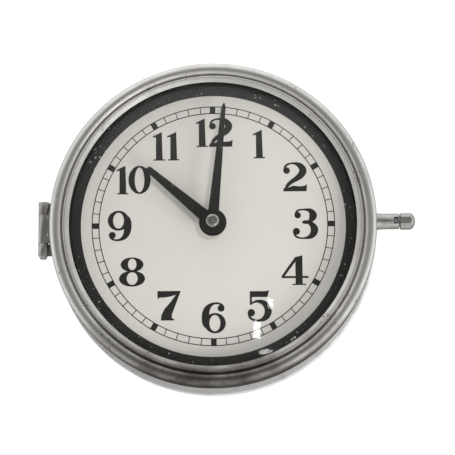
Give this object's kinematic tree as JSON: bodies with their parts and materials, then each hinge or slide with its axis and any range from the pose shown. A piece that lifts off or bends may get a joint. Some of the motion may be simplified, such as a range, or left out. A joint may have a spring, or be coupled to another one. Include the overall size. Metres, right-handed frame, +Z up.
{
  "type": "deck clock",
  "caption": "Round wall-mounted ship's deck clock: flanged case, hinged bezel with domed glass, pull-knob latch, numbered dial, hour and minute hands, impulse movement.",
  "frame": {"origin": "on the wall plane, where the axis of the hands meets it", "axes": "+Y into the wall, so the dial faces -Y; +Z up towards twelve o'clock; +X to the right, towards the latch"},
  "size_m": [0.2568, 0.0662, 0.225],
  "materials": {
    "chromed_bezel": "worn chrome plate, finely scratched",
    "case_metal": "brushed",
    "cover_metal": "rolled sheet",
    "hinge_metal": "dull grey",
    "latch_metal": "worn plate",
    "fastener_steel": "turned",
    "clear_glass": "polished",
    "black_rubber": "matt",
    "dial_white": "off-white enamel paint",
    "dial_ink": "screen-printed black",
    "black_paint": "matt black",
    "hand_black": "satin black",
    "nut_steel": "turned",
    "movement_brass": "brushed",
    "arbor_steel": "polished",
    "magnet": "sintered",
    "core_steel": "laminated",
    "bobbin_plastic": "moulded nylon",
    "copper_wire": "enamelled",
    "terminal_plastic": "moulded phenolic",
    "wire_insulation": "flexible sleeve",
    "spring_steel": "wire"
  },
  "bodies": {
    "case": {"case_body": "case_metal", "back_cover": "cover_metal", "back_cover_screws": "fastener_steel", "cable_grommet": "black_rubber", "case_gasket": "black_rubber", "hinge_case_leaf": "hinge_metal", "hinge_screws": "fastener_steel", "hinge_pin": "hinge_metal", "dial": "dial_white", "minute_track": "dial_ink", "dial_numerals": "dial_ink", "dial_surround": "black_paint", "dial_screws": "black_paint", "minute_wheel_stud": "arbor_steel", "movement_rear_plate": "movement_brass", "movement_front_plate": "movement_brass", "rear_bushes": "movement_brass", "front_bushes": "movement_brass", "pillars": "movement_brass", "pillar_screws": "fastener_steel", "dial_feet": "movement_brass", "dial_foot_nuts": "fastener_steel", "stator_poles": "core_steel", "coil_core": "core_steel", "coil_bobbin": "bobbin_plastic", "coil_winding": "copper_wire", "core_screws": "fastener_steel", "terminal_block": "terminal_plastic", "terminal_screws": "fastener_steel", "block_screws": "fastener_steel", "lead_wires": "wire_insulation"},
    "bezel": {"bezel_ring": "chromed_bezel", "glass": "clear_glass", "glass_gasket": "black_rubber", "glass_retaining_ring": "black_paint", "hinge_bezel_leaf": "hinge_metal", "hinge_rivets": "hinge_metal", "latch_barrel": "latch_metal", "latch_spring": "spring_steel"},
    "latch": {"latch_plunger": "arbor_steel", "latch_cross_pin": "arbor_steel", "latch_knob": "latch_metal"},
    "minute": {"centre_arbor": "arbor_steel", "centre_wheel": "movement_brass", "cannon_pinion": "arbor_steel", "minute_hand": "hand_black", "hand_nut": "nut_steel"},
    "hour": {"hour_wheel": "movement_brass", "hour_hand": "hand_black"},
    "motion": {"minute_wheel": "movement_brass"},
    "intermediate": {"intermediate_arbor": "arbor_steel", "intermediate_wheel": "movement_brass"},
    "rotor": {"rotor_shaft": "arbor_steel", "rotor_magnet": "magnet"}
  },
  "joints": [
    {"name": "bezel_swing", "type": "hinge", "parent": "case", "child": "bezel", "pos_m": [-0.1164, -0.034, 0], "axis": [0, 0, -1], "range_deg": [0, 115]},
    {"name": "latch_pull", "type": "slide", "parent": "bezel", "child": "latch", "axis": [1, 0, 0], "range_m": [0, 0.0045], "stiffness_N_per_m": 600, "springref_m": -0.003, "deforming": ["latch_spring"]},
    {"name": "minute_turn", "type": "hinge", "parent": "case", "child": "minute", "pos_m": [0, -0.035, 0], "axis": [0, 1, 0], "continuous": true},
    {"name": "hour_turn", "type": "hinge", "parent": "case", "child": "hour", "pos_m": [0, -0.035, 0], "axis": [0, 1, 0], "continuous": true},
    {"name": "motion_work_turn", "type": "hinge", "parent": "case", "child": "motion", "pos_m": [0, -0.035, 0.012], "axis": [0, 1, 0], "continuous": true},
    {"name": "intermediate_turn", "type": "hinge", "parent": "case", "child": "intermediate", "pos_m": [0, -0.035, -0.0168], "axis": [0, 1, 0], "continuous": true},
    {"name": "rotor_turn", "type": "hinge", "parent": "case", "child": "rotor", "pos_m": [0.01353, -0.035, -0.02173], "axis": [0, 1, 0], "continuous": true}
  ],
  "couplings": [
    {"joint": "hour_turn", "follows": "minute_turn", "ratio": 0.083333},
    {"joint": "motion_work_turn", "follows": "minute_turn", "ratio": -0.33333},
    {"joint": "intermediate_turn", "follows": "minute_turn", "ratio": -6},
    {"joint": "rotor_turn", "follows": "minute_turn", "ratio": 30}
  ]
}
